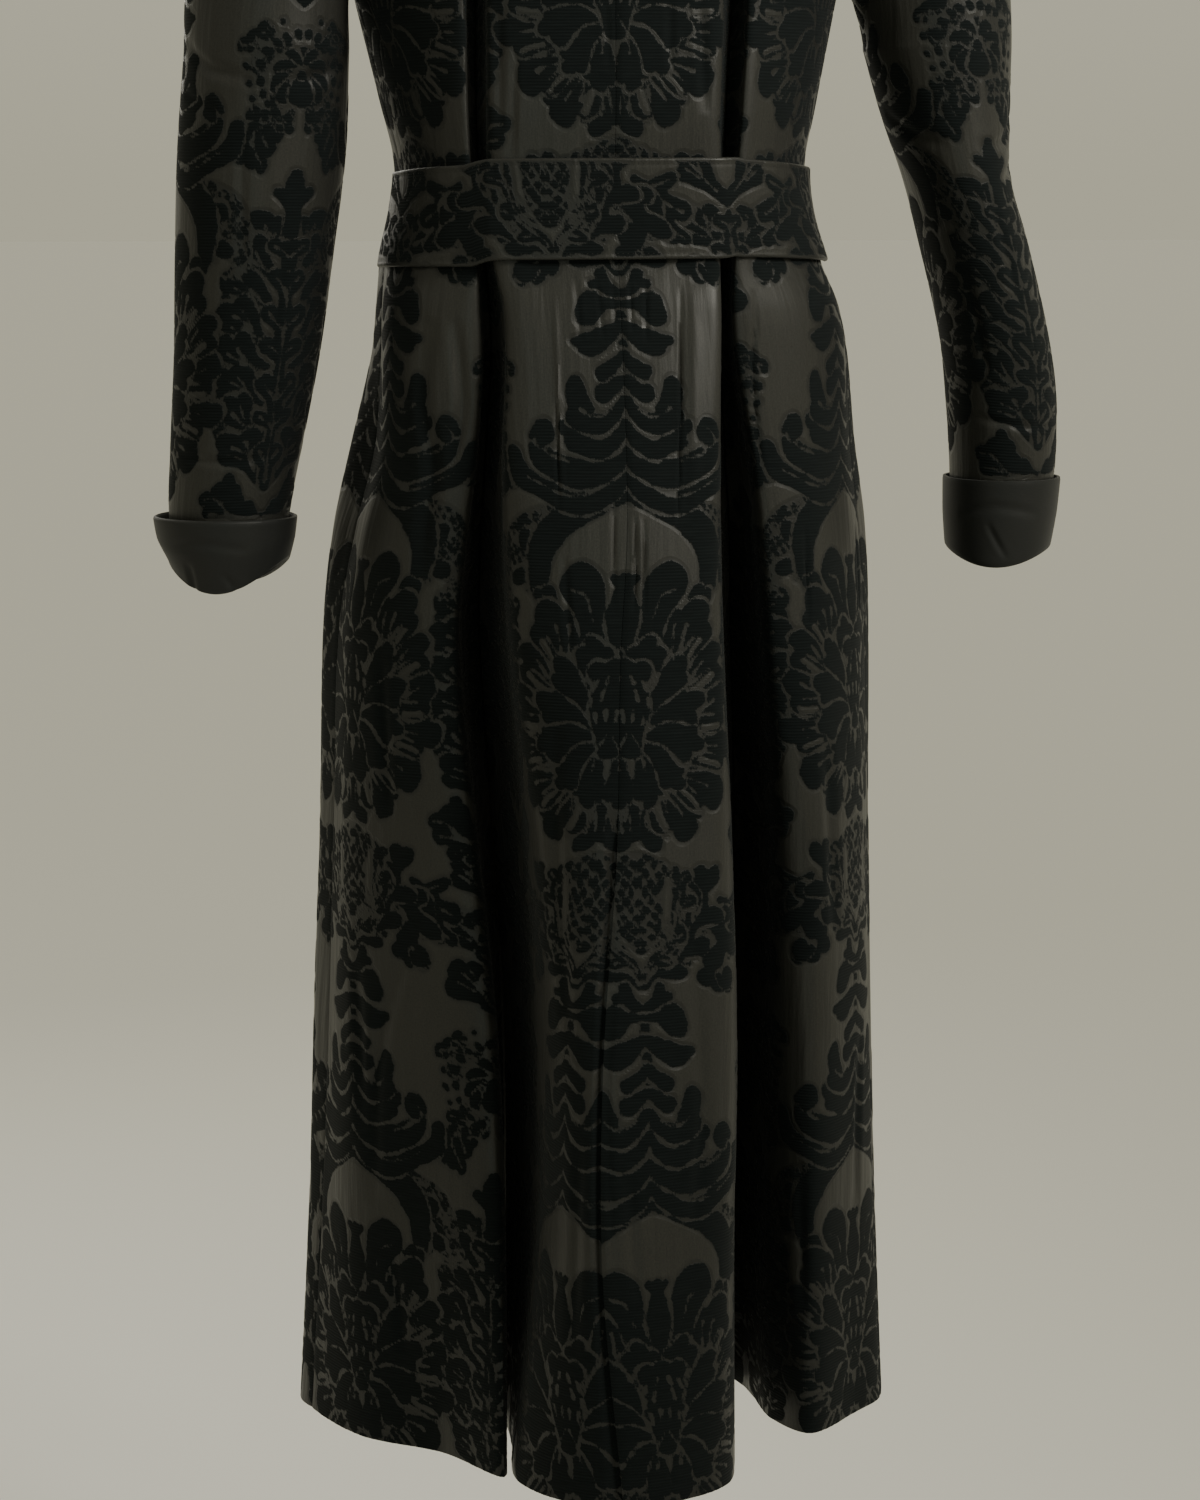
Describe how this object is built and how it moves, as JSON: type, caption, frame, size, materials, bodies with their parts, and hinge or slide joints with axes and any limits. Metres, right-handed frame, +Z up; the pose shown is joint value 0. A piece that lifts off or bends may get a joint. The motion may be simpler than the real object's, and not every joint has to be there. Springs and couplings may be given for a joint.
{
  "type": "robe coat",
  "caption": "Full-length fitted robe coat in black figured cloth, filled out as worn, with a half-belt, pleated flared back, centre vent and turned-back cuffs.",
  "frame": {"origin": "between the shoulders at the level of the back neck, where the wearer holds the coat", "axes": "+Z up, -Y the back of the coat, +Y its front opening, +X the wearer's right"},
  "size_m": [0.6446, 0.39, 1.2624],
  "materials": {
    "figured_cloth": "black damask with a satin ground and a matte ribbed figure",
    "cuff_satin": "plain black satin"
  },
  "bodies": {
    "root": {"back_right": "figured_cloth", "back_left": "figured_cloth", "side_back_right": "figured_cloth", "side_back_left": "figured_cloth", "front_right": "figured_cloth", "front_left": "figured_cloth", "sleeve_right": "figured_cloth", "sleeve_left": "figured_cloth", "cuff_right": "cuff_satin", "cuff_left": "cuff_satin", "back_belt": "figured_cloth"}
  },
  "joints": []
}
